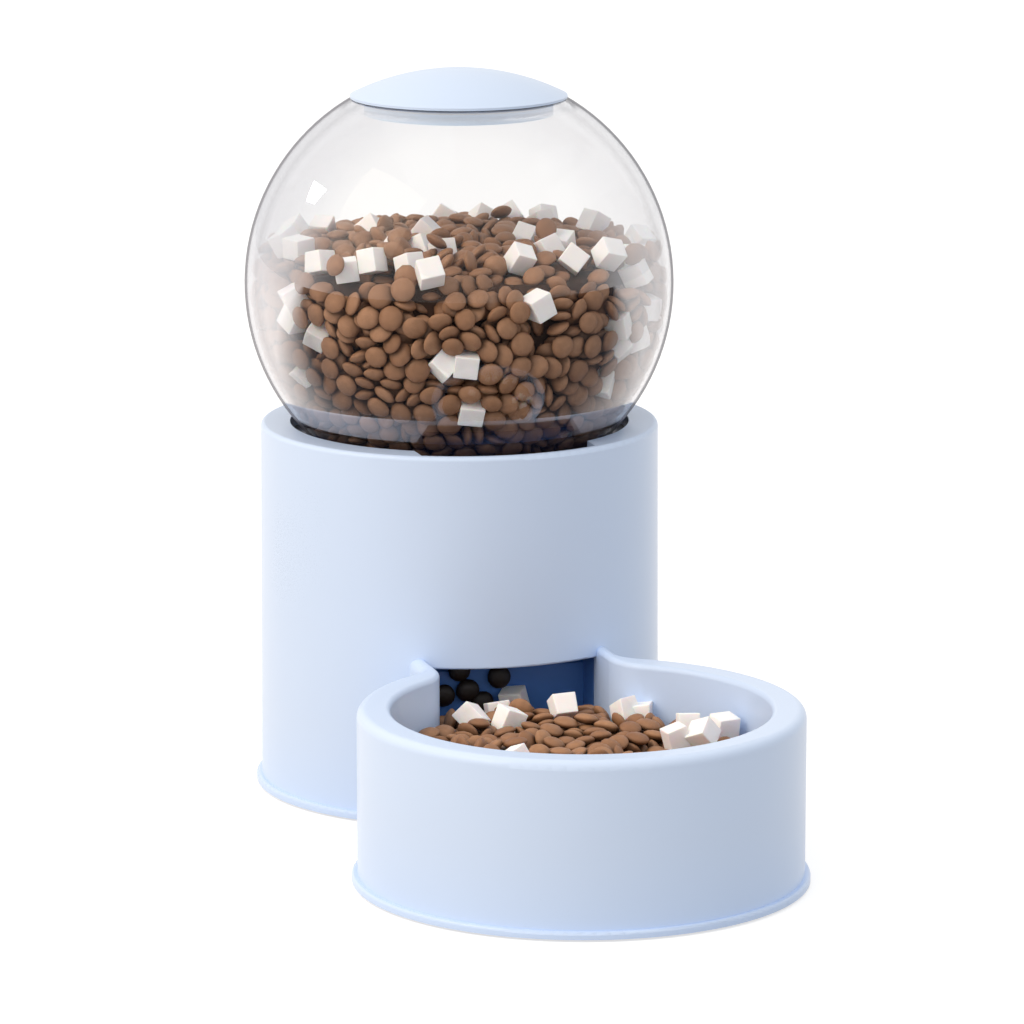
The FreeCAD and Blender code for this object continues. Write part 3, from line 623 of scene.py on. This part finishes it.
def softCube():
    # A cube of size 1 with narrow rounded edges and slightly dished faces
    marks = (-1.0, -0.965, -0.9, -0.45, 0.0, 0.45, 0.9, 0.965, 1.0)
    edge, dish = 0.09, 0.035
    index, points, faces = {}, [], []

    def corner(axis, sign, u, v):
        point = [0.0, 0.0, 0.0]
        point[axis], point[(axis + 1) % 3], point[(axis + 2) % 3] = sign, u, v
        key = tuple(point)
        if key not in index:
            whole = np.array(point)
            core = np.clip(whole, edge - 1, 1 - edge)
            out = whole - core
            out = core + out / max(np.linalg.norm(out), 1e-9) * edge
            hollow = max(0.0, 1 - (u / 0.9) ** 4) * max(0.0, 1 - (v / 0.9) ** 4)
            out[axis] -= sign * dish * hollow
            index[key] = len(points)
            points.append(out / 2)
        return index[key]

    for axis in range(3):
        for sign in (-1.0, 1.0):
            for u, nextU in zip(marks, marks[1:]):
                for v, nextV in zip(marks, marks[1:]):
                    around = [corner(axis, sign, u, v), corner(axis, sign, nextU, v),
                              corner(axis, sign, nextU, nextV), corner(axis, sign, u, nextV)]
                    faces.append(tuple(around if sign > 0 else around[::-1]))
    return np.array(points), faces


def cubePiece(name, rng, cubes, flatOn, tilted, material, body):
    # flatOn gives, for a cube that lies against the ball, the way it faces
    shape, faces = softCube()
    points, allFaces = [], []
    for k, place in enumerate(cubes):
        facing = flatOn.get(k)
        toward = rng.normal(size=3) * tilted + (0.0, 0.0, 1.0) if facing is None else np.array(facing)
        toward /= np.linalg.norm(toward)
        side = np.cross(toward, rng.normal(size=3) if facing is None else (0.12, 0.0, 1.0))
        side /= np.linalg.norm(side)
        basis = np.stack([side, np.cross(toward, side), toward])
        size = food["cube"] * rng.uniform(*food["cubeSides"], 3)
        local = shape * size
        local[:, 0] *= 1 + rng.normal() * food["cubeSlant"] * shape[:, 2] * 2
        local[:, 1] += local[:, 2] * rng.normal() * food["cubeSlant"]
        points.append(local @ basis + place)
        start = k * len(shape)
        allFaces += [tuple(start + v for v in face) for face in faces]
    return meshPiece(name, np.concatenate(points).tolist(), allFaces, material, body)


pelletBrown = pelletFinish("baked_pellet", (182, 136, 99), (149, 106, 74), (112, 76, 50), 0.0045)
# The ball's pellets: a slightly darker copy, with painted shade downwards between two heights
ballShadedBrown = pelletFinish("baked_pellet_ball_shaded", (176, 132, 100), (144, 103, 74), (108, 74, 49), 0.0036,
                         shadedBelow=(0.152, 0.182))
# Pellets painted near black, as deep shade, for those that lean behind the outlet
pelletShadeBlack = pelletFinish("shade_black_pellet", (34, 22, 16), (22, 14, 11), (14, 9, 7), 0.003)
cubeWhite, depthShadeBrown = cubeFinish(), coreShadeFinish()

# Food in the clear ball: the level, and where the photograph shows the cubes, in its pixels
ballFood = {
    "level": 0.2435,
    "cubeLevel": 0.2372,
    "sunkBefore": 226,  # rows of the photograph above this show only the upper half of a cube
    "sunk": 5,
    "buried": 3,  # and how much lower the others stand than what is seen of them
    "backFromWall": 0.0045,
    "topCubes": (
        (443, 212), (481, 214), (512, 212), (541, 218), (551, 210), (594, 218), (322, 226), (372, 227),
        (426, 229), (526, 233), (421, 245), (443, 248), (547, 246), (520, 256), (573, 256), (608, 251),
        (632, 254), (299, 245), (321, 259), (347, 267), (372, 258), (410, 263), (641, 236), (650, 243),
        (293, 227), (286, 239), (399, 243), (562, 242),
    ),
    "glassCubes": (
        (430, 273), (635, 274), (296, 298), (538, 306), (644, 306), (617, 325), (633, 337), (616, 347),
        (320, 334), (444, 364), (308, 372), (600, 383), (614, 402), (650, 321), (296, 318),
    ),
    "flatCubes": ((466, 364), (471, 410)),  # these lie flat against the wall
    "flatGap": 0.0002,
    "behind": 34,  # cubes on the sides that the photograph doesn't show
    "behindHeights": (0.140, 0.2252),
    "behindDepth": 0.004,  # the furthest that they are from the wall
    "cubeSpacing": 1.25,  # their sizes from one to the next
    "cubeTurn": 1.2,  # how far from level the cubes lie
    "pelletTurn": 0.75,
    "pressed": 0.7,  # the share of the pellets by the wall that lie against it, and how near it they are
    "pressedDepth": 0.008,
    "pressedTurn": 0.1,
    "near": 0.009,  # depth of the pellets that are meshed finely
    "coreGap": 0.003,  # how far the core, painted dark as shade, stands out into the kept pellets
    "coreTop": 0.001,
    "seed": 11,
}


def fillBall():
    rng = np.random.default_rng(ballFood["seed"])
    room = feeder["ballInside"] - feeder["play"]
    deep = feeder["ballInside"] - food["layer"]
    cubeReach = room - food["cube"] * food["cubeRoom"]
    cubes = []
    for x, y in ballFood["topCubes"]:
        lower = ballFood["sunk"] if y < ballFood["sunkBefore"] else ballFood["buried"]
        height = ballFood["cubeLevel"] + rng.uniform(-0.001, 0.001)
        cubes.append(insideBall(x, y + lower, height, cubeReach - ballFood["backFromWall"]))
    for x, y in ballFood["glassCubes"]:
        cubes.append(onBall(x, y, cubeReach))
    flatOn = {}
    for x, y in ballFood["flatCubes"]:
        place = onBall(x, y, room - food["cube"] * 0.5 - ballFood["flatGap"])
        flatOn[len(cubes)] = place - ballMiddle
        cubes.append(place)
    toEye = eye[:2] - ballMiddle[:2]
    added, (lowest, highest) = 0, ballFood["behindHeights"]
    while added < ballFood["behind"]:
        way = rng.normal(size=3)
        way /= np.linalg.norm(way)
        place = ballMiddle + way * (cubeReach - rng.uniform(0, ballFood["behindDepth"]))
        if way[:2] @ toEye < -0.1 and lowest < place[2] < highest:
            nearest = min(np.linalg.norm(place - other) for other in cubes)
            if nearest > food["cube"] * ballFood["cubeSpacing"]:
                cubes.append(place)
                added += 1

    def walls(p):
        away = p - ballMiddle
        far = np.sqrt((away * away).sum(1))
        yield room - far, -away / far[:, None]
        coreOut = far - deep
        planeOut = p[:, 2] - ballFood["level"] + food["layer"]
        onPlane = planeOut > coreOut
        inward = np.where(onPlane[:, None], (0.0, 0.0, 1.0), away / far[:, None])
        yield np.where(onPlane, planeOut, coreOut), inward

    def inside(q, spare=0.0):
        far = np.linalg.norm(q - ballMiddle)
        level = ballFood["level"]
        if far > room - food["offWall"] + spare or q[2] > level - food["offTop"] + spare * 0.8:
            return False
        return far > deep - spare or q[2] > level - food["layer"] - spare

    def lie(p):
        away = p - ballMiddle
        far = np.linalg.norm(away, axis=1)
        axes = rng.normal(size=p.shape) * ballFood["pelletTurn"] + (0.0, 0.0, 1.0)
        byWall = far > room - ballFood["pressedDepth"]
        pressed = byWall & (rng.uniform(size=len(p)) < ballFood["pressed"])
        outward = away / far[:, None] + rng.normal(size=p.shape) * ballFood["pressedTurn"]
        return np.where(pressed[:, None], outward, axes)

    reach = np.array((room, room, room))
    tries = ballMiddle + rng.uniform(-1, 1, (food["tries"], 3)) * reach
    volume = 8 * room ** 3 * np.mean([inside(q) for q in tries])
    p, n, wide, flat = heap(rng, inside, ballMiddle - reach, ballMiddle + reach, cubes, walls, volume, lie)
    toWall = room - np.linalg.norm(p - ballMiddle, axis=1)
    toTop = ballFood["level"] - p[:, 2]
    depth = np.minimum(toWall, toTop)
    kept = depth < food["kept"]
    near = depth < ballFood["near"]
    print("  pellets in the ball:", int(kept.sum()), "of", len(p), "highest %.4f" % p[:, 2].max())
    fine, coarse = lentil(18, 8), lentil(10, 6)
    turned = np.arctan2(p[:, 1] - feeder["towerY"], p[:, 0])
    for k, name in enumerate(("ball_food_right", "ball_food_left")):
        half = kept & near & ((np.abs(turned) < math.pi / 2) == (k == 0))
        pelletPiece(name, rng, p[half], n[half], wide[half], flat[half], fine, ballShadedBrown, "hopper")
    far = kept & ~near
    pelletPiece("ball_food_inner", rng, p[far], n[far], wide[far], flat[far], coarse, ballShadedBrown, "hopper")
    cubePiece("ball_food_cubes", rng, cubes, flatOn, ballFood["cubeTurn"], cubeWhite, "hopper")


fillBall()
print("food in the ball")


def revolved(name, profile, around, middle, material, body):
    # A closed solid of revolution from (radius, height) points, both ends on the axis
    points, faces = [], []
    for radius, height in profile[1:-1]:
        for k in range(around):
            turned = 2 * math.pi * k / around
            x, y = radius * math.cos(turned), radius * math.sin(turned)
            points.append((middle[0] + x, middle[1] + y, height))
    bottom, top = len(points), len(points) + 1
    points += [(middle[0], middle[1], profile[0][1]), (middle[0], middle[1], profile[-1][1])]
    rows = len(profile) - 2
    for k in range(around):
        after = (k + 1) % around
        faces.append((bottom, after, k))
        for row in range(rows - 1):
            low = row * around
            faces.append((low + k, low + after, low + around + after, low + around + k))
        faces.append((top, (rows - 1) * around + k, (rows - 1) * around + after))
    return meshPiece(name, points, faces, material, body)


def ballCore():
    inner = feeder["ballInside"] - food["kept"] + ballFood["coreGap"]
    top = ballFood["level"] - food["kept"] + ballFood["coreTop"] - feeder["ballZ"]
    last = math.asin(top / inner)
    profile = [(0.0, feeder["ballZ"] - inner)]
    for k in range(1, 25):
        angle = -math.pi / 2 + (last + math.pi / 2) * k / 24
        profile.append((inner * math.cos(angle), feeder["ballZ"] + inner * math.sin(angle)))
    profile.append((inner * math.cos(last) * 0.5, feeder["ballZ"] + top))
    profile.append((0.0, feeder["ballZ"] + top))
    revolved("ball_food_core", profile, 64, (0.0, feeder["towerY"]), depthShadeBrown, "hopper")


ballCore()

# Food in the bowl and behind the outlet, and where the photograph shows its cubes, in its pixels
bowlFood = {
    "level": 0.0570,
    "chuteLevel": 0.0410,
    "slopeFrom": -0.012,  # from here backwards, the one level falls to the other
    "slopeLength": 0.036,
    "loose": 0.017,  # depth of loose pieces that are settled
    "looseness": 0.93,
    "cubes": (  # and the height of each one's middle
        (472, 718, 0.0540), (498, 713, 0.0510), (509, 720, 0.0540), (563, 706, 0.0575), (625, 711, 0.0535),
        (641, 715, 0.0515), (676, 738, 0.0540), (688, 725, 0.0545), (703, 734, 0.0560), (724, 727, 0.0550),
        (515, 760, 0.0550),
    ),
    "shadedCube": (514, 700, 0.0225),  # the pixels, and how far its middle lies behind the outlet
    "leaning": (  # across and up, for the ones that lean on the back wall, painted near black as shade
        (-0.0182, 0.0629), (-0.0008, 0.0587), (-0.0147, 0.0538), (-0.0082, 0.0481), (-0.0254, 0.0522),
    ),
    "leanOff": 0.0024,  # their middles are this far from it
    "leanTurn": 0.06,
    "nearCubes": 6,  # cubes on the near side, which the rim hides in the photograph
    "hiddenFrom": 0.046,  # how far in front of the bowl's middle they start
    "nearSunk": 0.001,
    "cubeSpacing": 1.4,
    "cubeTurn": 0.3,
    "pelletTurn": 0.6,
    "coreDeep": 0.012,  # how far below the level the core, painted dark as shade, ends
    "seed": 23,
}


def fillBowl():
    rng = np.random.default_rng(bowlFood["seed"])
    half, backWall, bowlY = feeder["outletHalf"], feeder["backWallY"], feeder["bowlY"]
    room = feeder["bowlInside"] - feeder["play"]
    level, loose = bowlFood["level"], bowlFood["loose"]
    slopeFrom, slopeLength = bowlFood["slopeFrom"], bowlFood["slopeLength"]

    def levelAt(p):
        share = np.clip((p[:, 1] - slopeFrom) / slopeLength, 0, 1)
        share = share * share * (3 - 2 * share)
        return level + (bowlFood["chuteLevel"] - level) * share

    def sides(p):
        flatAway = p[:, :2] - (0.0, bowlY)
        far = np.hypot(flatAway[:, 0], flatAway[:, 1]) + 1e-9
        roundDepth = room - far
        sideDepth, backDepth = half - np.abs(p[:, 0]), backWall - p[:, 1]
        inPassage = (np.minimum(sideDepth, backDepth) > roundDepth) & (p[:, 1] > bowlY)
        towardMiddle = -flatAway / far[:, None]
        fromSide = np.stack([-np.sign(p[:, 0]), np.zeros(len(p))], 1)
        passage = np.where((sideDepth < backDepth)[:, None], fromSide, (0.0, -1.0))
        depth = np.where(inPassage, np.minimum(sideDepth, backDepth), roundDepth)
        inward = np.where(inPassage[:, None], passage, towardMiddle)
        return depth, np.concatenate([inward, np.zeros((len(p), 1))], 1)

    def walls(p):
        yield sides(p)
        yield p[:, 2] - levelAt(p) + loose, np.array((0.0, 0.0, 1.0))

    def inside(q, spare=0.0):
        p = q[None, :]
        above = q[2] - levelAt(p)[0]
        between = -loose - spare < above < spare * 0.8 - food["offTop"]
        return between and sides(p)[0][0] > food["offWall"] - spare

    def lie(p):
        return rng.normal(size=p.shape) * bowlFood["pelletTurn"] + (0.0, 0.0, 1.0)

    cubes = [onLevel(x, y, height) for x, y, height in bowlFood["cubes"]]
    x, y, back = bowlFood["shadedCube"]
    line = sight(x, y)
    cubes.append(eye + line * ((feeder["outletY"] + back) - eye[1]) / line[1])
    while len(cubes) < len(bowlFood["cubes"]) + 1 + bowlFood["nearCubes"]:
        turned = rng.uniform(-math.pi, 0)
        far = rng.uniform(0.015, room - 0.008)
        along, height = bowlY - 0.006 + far * math.sin(turned), level - bowlFood["nearSunk"]
        place = np.array((far * math.cos(turned), along, height))
        if sides(place[None, :])[0][0] > 0.006 and place[1] < bowlY - bowlFood["hiddenFrom"]:
            nearest = min(np.linalg.norm(place - other) for other in cubes)
            if nearest > food["cube"] * bowlFood["cubeSpacing"]:
                cubes.append(place)
    low = np.array((-room, bowlY - room, bowlFood["chuteLevel"] - 0.018))
    high = np.array((room, backWall, level + 0.002))
    tries = rng.uniform(low, high, (food["tries"], 3))
    volume = np.prod(high - low) * np.mean([inside(q) for q in tries]) * bowlFood["looseness"]
    p, n, wide, flat = heap(rng, inside, low, high, cubes, walls, volume, lie)
    print("  pellets in the bowl:", len(p), "highest %.4f" % p[:, 2].max())
    lean = np.array([(x, backWall - bowlFood["leanOff"], z) for x, z in bowlFood["leaning"]])
    upright = rng.normal(size=lean.shape) * bowlFood["leanTurn"] + (0.0, -1.0, 0.0)
    upright /= np.linalg.norm(upright, axis=1)[:, None]
    p, n = np.concatenate([p, lean]), np.concatenate([n, upright])
    wide = np.concatenate([wide, np.full(len(lean), food["width"])])
    flat = np.concatenate([flat, np.full(len(lean), food["thickness"] / food["width"])])
    leaning = np.arange(len(p)) >= len(p) - len(lean)
    behind = (p[:, 1] > 0.0) & ~leaning
    parts = (
        ("bowl_food", ~behind & ~leaning, pelletBrown),
        ("chute_food", behind, pelletBrown),
        ("chute_food_dark", leaning, pelletShadeBlack),
    )
    for name, part, finish in parts:
        pelletPiece(name, rng, p[part], n[part], wide[part], flat[part], lentil(20, 8), finish, "base")
    cubePiece("bowl_food_cubes", rng, cubes, {}, bowlFood["cubeTurn"], cubeWhite, "base")


fillBowl()


def bowlCore():
    floor, top = feeder["bowlFloor"] + 0.0005, bowlFood["level"] - bowlFood["coreDeep"]
    radius = feeder["bowlInside"] - 0.001
    profile = [(0.0, floor), (radius - 0.010, floor), (radius, floor + 0.010), (radius, top), (0.0, top)]
    revolved("bowl_food_core", profile, 96, (0.0, feeder["bowlY"]), depthShadeBrown, "base")


bowlCore()
print("food in the bowl")

# Floor, backdrop and lights
studio = {
    "floorSize": 14.0,
    "floorColour": (182, 182, 183),
    "darkColour": (70, 72, 78),
    "ambient": 0.90,  # world on everything but what the camera, gloss and glass see
    "ambientLean": (-0.10, 0.0, 0.14),  # how much brighter it is to the right, to the back and above
    "ambientTint": (1.0, 0.985, 0.965, 1.0),
    "floorGlow": 0.65,  # lifts the lit floor to white in the picture, and leaves the shadow
    "darkFrom": 0.34,  # mirrored by the ball, the floor gets dark from here towards the camera
    "darkPast": 0.04,
    "keyPlace": (-1.58, -0.36, 1.45),
    "keyAim": (0.0, 0.0, 0.15),
    "keySize": (1.5, 1.5),
    "keyPower": 28.0,
    "keyTint": (1.0, 0.84, 0.66),
    "windowGlow": 8.0,  # a window that the ball's outer face mirrors
    "sheenGlow": 6.5,  # the key light as the plastics' soft highlights show it
    "sheenCorners": ((-1.30, -0.86, 1.10), (-1.30, 0.14, 1.10), (-1.86, 0.14, 1.80), (-1.86, -0.86, 1.80)),
    "windowCorners": ((314.2, 180.8), (326.7, 189.8), (314.2, 204.2), (306.5, 201.0)),  # in pixels
    "windowAway": 1.9,
}


def seenRay(finish):
    camera = finish.node("LightPath", out="Is Camera Ray")
    glossy = finish.node("LightPath", out="Is Glossy Ray")
    through = finish.node("LightPath", out="Is Transmission Ray")
    every = camera + glossy + through
    return every.maths("MINIMUM", every, 1.0)


def card(name, corners, material):
    mesh = bpy.data.meshes.new(name)
    mesh.from_pydata(corners, [], [(0, 1, 2, 3)])
    made = bpy.data.objects.new(name, mesh)
    made.data.materials.append(material)
    bpy.context.scene.collection.objects.link(made)
    return made


def mirrorCard(name, corners, strength, sharp):
    # A card that only gloss shows: the clear ball's outer face if sharp is true, and else the plastics
    finish = newFinish(name)
    hidden = finish.node("BsdfTransparent", {}, {"Color": (1, 1, 1, 1)})
    glow = finish.node("Emission", {}, {"Color": (1, 1, 1, 1), "Strength": strength})
    singular = finish.node("LightPath", out="Is Singular Ray")
    glossy = finish.node("LightPath", out="Is Glossy Ray")
    through = finish.node("LightPath", out="Transmission Depth")
    if sharp:
        shown = glossy * singular * through.maths("LESS_THAN", through, 0.5)
    else:
        shown = glossy * (1.0 - singular)
    material = finish.done(finish.node("MixShader", {}, {0: shown, 1: hidden, 2: glow}))
    material.cycles.emission_sampling = "NONE"
    made = card(name, corners, material)
    made.visible_camera = made.visible_diffuse = made.visible_transmission = made.visible_shadow = False


def makeCards():
    corners = []
    outside = feeder["ballOutside"]
    for x, y in studio["windowCorners"]:
        place = onBall(x, y, outside)
        normal = (place - ballMiddle) / outside
        line = sight(x, y)
        corners.append(tuple(place + (line - 2 * (line @ normal) * normal) * studio["windowAway"]))
    mirrorCard("window_card", corners, studio["windowGlow"], True)
    mirrorCard("sheen_card", studio["sheenCorners"], studio["sheenGlow"], False)


def makeFloor():
    finish = newFinish("white_floor")
    lit = finish.node("BsdfDiffuse", {}, {"Color": paint(*studio["floorColour"])})
    strength = seenRay(finish) * studio["floorGlow"]
    glow = finish.node("Emission", {}, {"Color": (1, 1, 1, 1), "Strength": strength})
    white = finish.node("AddShader", {}, {0: lit, 1: glow})
    dark = finish.node("BsdfDiffuse", {}, {"Color": paint(*studio["darkColour"])})
    depth = finish.node("LightPath", out="Glossy Depth")
    mirrored = depth.maths("GREATER_THAN", depth, 0.5) * finish.node("LightPath", out="Is Singular Ray")
    place = finish.node("TexCoord", out="Object")
    away = (-math.sin(turn), math.cos(turn), 0.0)
    beyond = finish.node("VectorMath", {"operation": "DOT_PRODUCT"}, {0: place, 1: away}, out="Value")
    front = finish.node("MapRange", {}, {0: beyond, 1: studio["darkFrom"], 2: studio["darkPast"]})
    material = finish.done(finish.node("MixShader", {}, {0: mirrored * front, 1: white, 2: dark}))
    half = studio["floorSize"] / 2
    card("studio_floor", ((-half, -half, 0), (half, -half, 0), (half, half, 0), (-half, half, 0)), material)


def makeWorld():
    world = bpy.data.worlds.new("studio_world")
    bpy.context.scene.world = world
    finish = Finish(world)
    seen = seenRay(finish)
    sockets = {0: finish.node("TexCoord", out="Generated"), 1: studio["ambientLean"]}
    lean = finish.node("VectorMath", {"operation": "DOT_PRODUCT"}, sockets, out="Value")
    around = (lean + 1.0) * studio["ambient"]
    strength = around * (1.0 - seen) + seen
    tint = finish.mixColour(seen, studio["ambientTint"], (1, 1, 1, 1))
    finish.done(finish.node("Background", {}, {"Color": tint, "Strength": strength}), "OutputWorld")


def makeKeyLight():
    lamp = bpy.data.lights.new("key_softbox", "AREA")
    lamp.shape = "RECTANGLE"
    lamp.size, lamp.size_y = studio["keySize"]
    lamp.energy = studio["keyPower"]
    lamp.color = studio["keyTint"]
    made = bpy.data.objects.new("key_softbox", lamp)
    made.location = studio["keyPlace"]
    toward = Vector(studio["keyAim"]) - Vector(studio["keyPlace"])
    made.rotation_euler = toward.to_track_quat("-Z", "Y").to_euler()
    made.visible_glossy = False  # gloss sees the sheen card in its place
    bpy.context.scene.collection.objects.link(made)


def makeCamera():
    lens = bpy.data.cameras.new("camera")
    lens.lens = view["lens"]
    lens.sensor_width = view["sensor"]
    lens.clip_start, lens.clip_end = 0.05, 50.0
    made = bpy.data.objects.new("camera", lens)
    made.location = view["place"]
    made.rotation_euler = (math.radians(90 - view["tilt"]), 0.0, math.radians(view["turn"]))
    bpy.context.scene.collection.objects.link(made)
    bpy.context.scene.camera = made


makeFloor()
makeCards()
makeWorld()
makeKeyLight()
makeCamera()
bpy.context.scene.view_settings.view_transform = "Standard"
print("studio set")
